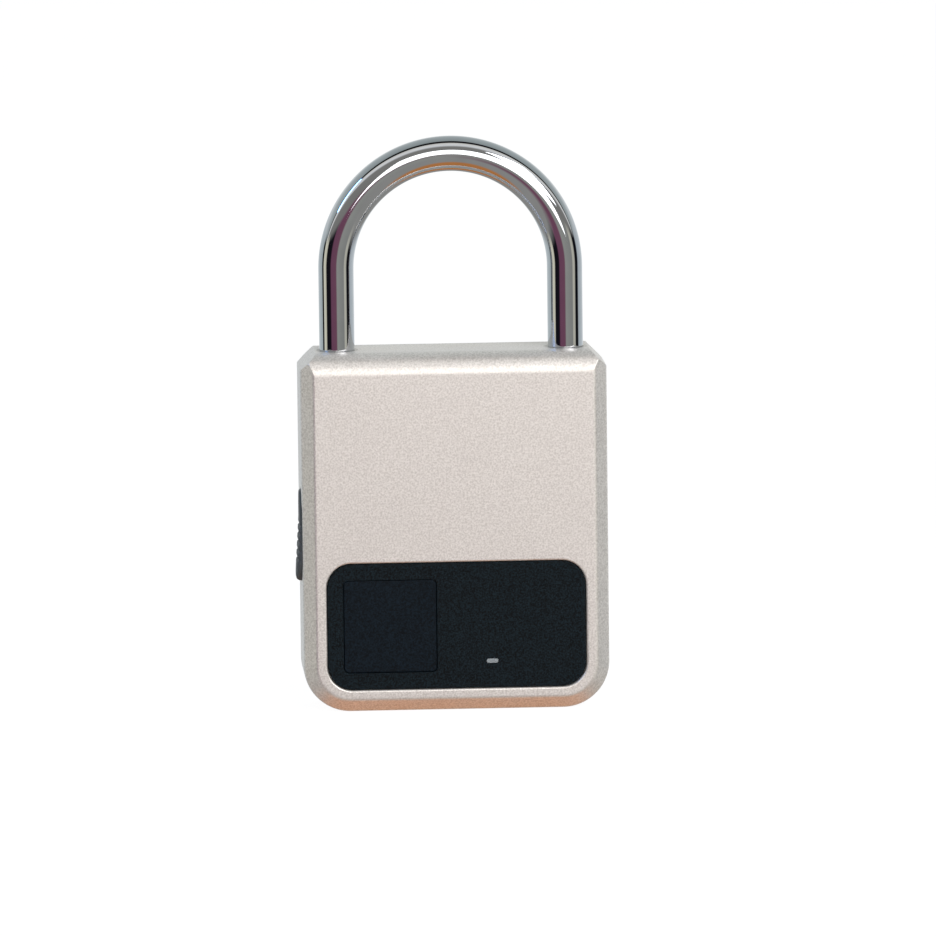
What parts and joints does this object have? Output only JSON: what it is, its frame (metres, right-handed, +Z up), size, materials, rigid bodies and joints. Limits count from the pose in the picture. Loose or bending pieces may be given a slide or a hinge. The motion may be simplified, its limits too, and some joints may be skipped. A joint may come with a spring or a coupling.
{
  "type": "fingerprint padlock",
  "caption": "Small rectangular padlock with a round-bar U shackle, a fingerprint sensor panel, a rubber-covered charging port and a motor-driven latch inside.",
  "frame": {"origin": "middle of the flat base, under the middle of the body", "axes": "+Z up along the shackle legs, +Y from the sensor face to the back, +X to the right seen from the front"},
  "size_m": [0.0442, 0.0136, 0.0812],
  "materials": {
    "die_cast_zinc": "satin champagne lacquer with fine sparkle over zinc",
    "chrome_bar": "polished",
    "steel": "plain bright",
    "black_plastic": "fine-grained",
    "sensor_glass": "satin coated",
    "clear_plastic": "clear",
    "white_plastic": "moulded",
    "rubber": "matt",
    "circuit_board": "solder mask",
    "flex_film": "polyimide film",
    "chip_plastic": "moulded epoxy",
    "ceramic_parts": "ceramic",
    "battery_film": "laminated pouch",
    "foam": "foam tape",
    "wire_sleeve": "insulated wire",
    "cast_frame": "die-cast, as cast",
    "brass": "cut teeth"
  },
  "bodies": {
    "housing": {"front_shell": "die_cast_zinc", "back_cover": "die_cast_zinc", "cover_gasket": "rubber", "back_cover_screws": "steel", "sensor_panel": "black_plastic", "fingerprint_sensor": "sensor_glass", "sensor_flex": "flex_film", "light_pipe": "clear_plastic", "status_led": "white_plastic", "main_board": "circuit_board", "controller_chip": "chip_plastic", "charger_chip": "chip_plastic", "board_components": "ceramic_parts", "board_screws": "steel", "usb_socket": "steel", "usb_tongue": "chip_plastic", "battery": "battery_film", "battery_pad": "foam", "battery_leads": "wire_sleeve", "motor_leads": "wire_sleeve", "lock_frame": "cast_frame", "frame_cap": "steel", "frame_screws": "steel", "shackle_spring": "steel", "retaining_pin": "steel", "shackle_seals": "rubber", "motor_can": "steel", "motor_endcap": "white_plastic", "gearbox_barrel": "steel", "motor_clamp": "steel", "clamp_screws": "steel", "latch_spring": "steel", "port_cover_root": "rubber"},
    "shackle": {"shackle": "chrome_bar", "spring_cap": "white_plastic"},
    "latch": {"latch_bolt": "steel"},
    "motor_rotor": {"output_shaft": "steel", "drive_pinion": "brass"},
    "port_flap": {"port_cover_flap": "rubber"}
  },
  "joints": [
    {"name": "shackle_lift", "type": "slide", "parent": "housing", "child": "shackle", "axis": [0, 0, 1], "range_m": [0, 0.0095], "deforming": ["shackle_spring"]},
    {"name": "latch_slide", "type": "slide", "parent": "housing", "child": "latch", "axis": [-1, 0, 0], "range_m": [0, 0.0017], "deforming": ["latch_spring"]},
    {"name": "motor_spin", "type": "hinge", "parent": "housing", "child": "motor_rotor", "pos_m": [-0.002, 0.0014, 0.041], "axis": [0, 0, -1], "range_deg": [0, 54.5]},
    {"name": "port_cover_hinge", "type": "hinge", "parent": "housing", "child": "port_flap", "pos_m": [-0.02115, -0.0019, 0.02805], "axis": [0, 1, 0], "range_deg": [0, 90]}
  ],
  "couplings": [
    {"joint": "motor_spin", "follows": "latch_slide", "rad_per_m": 555.56}
  ]
}
